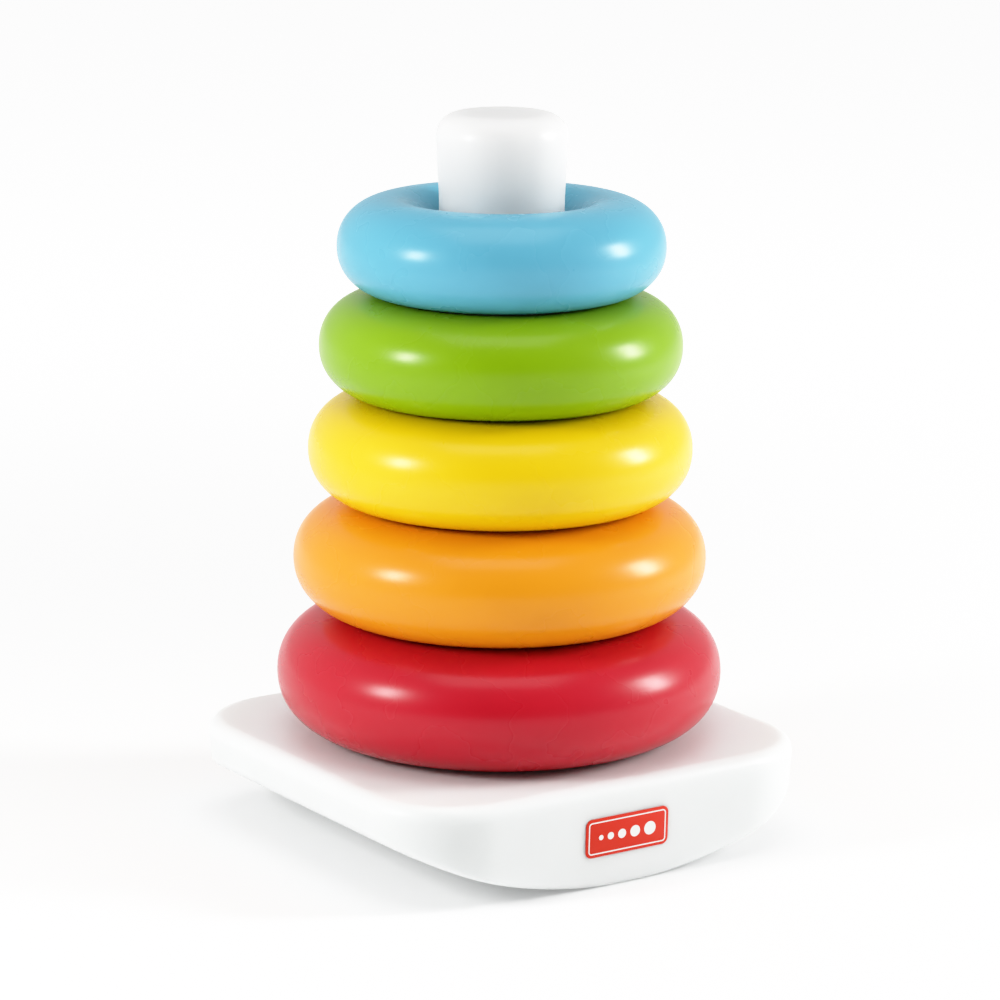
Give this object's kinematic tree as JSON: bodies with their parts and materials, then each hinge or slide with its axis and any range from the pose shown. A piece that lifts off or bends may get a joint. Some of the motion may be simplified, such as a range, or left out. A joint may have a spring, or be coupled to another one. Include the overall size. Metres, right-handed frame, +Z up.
{
  "type": "stacking ring toy",
  "caption": "Stacking toy: hollow coloured rings of graded size lift off a round-topped post on a white rocker base.",
  "frame": {"origin": "middle of the flat foot strip under the rocker base, on the surface the toy stands on", "axes": "+Z up along the post, X along the direction the base rocks, -Y towards the face with the label"},
  "size_m": [0.1396, 0.1329, 0.2081],
  "materials": {
    "white_plastic": "satin",
    "red_plastic": "satin",
    "orange_plastic": "satin",
    "yellow_plastic": "satin",
    "green_plastic": "satin",
    "blue_plastic": "satin",
    "label_print": "printed film"
  },
  "bodies": {
    "base": {"rocker_base": "white_plastic", "center_post": "white_plastic", "front_label": "label_print"},
    "red": {"red_ring": "red_plastic"},
    "orange": {"orange_ring": "orange_plastic"},
    "yellow": {"yellow_ring": "yellow_plastic"},
    "green": {"green_ring": "green_plastic"},
    "blue": {"blue_ring": "blue_plastic"}
  },
  "joints": [
    {"name": "red_lift", "type": "slide", "parent": "base", "child": "red", "axis": [0, 0, 1], "range_m": [0, 0.183]},
    {"name": "orange_lift", "type": "slide", "parent": "red", "child": "orange", "axis": [0, 0, 1], "range_m": [0, 0.149]},
    {"name": "yellow_lift", "type": "slide", "parent": "orange", "child": "yellow", "axis": [0, 0, 1], "range_m": [0, 0.116]},
    {"name": "green_lift", "type": "slide", "parent": "yellow", "child": "green", "axis": [0, 0, 1], "range_m": [0, 0.086]},
    {"name": "blue_lift", "type": "slide", "parent": "green", "child": "blue", "axis": [0, 0, 1], "range_m": [0, 0.057]}
  ]
}
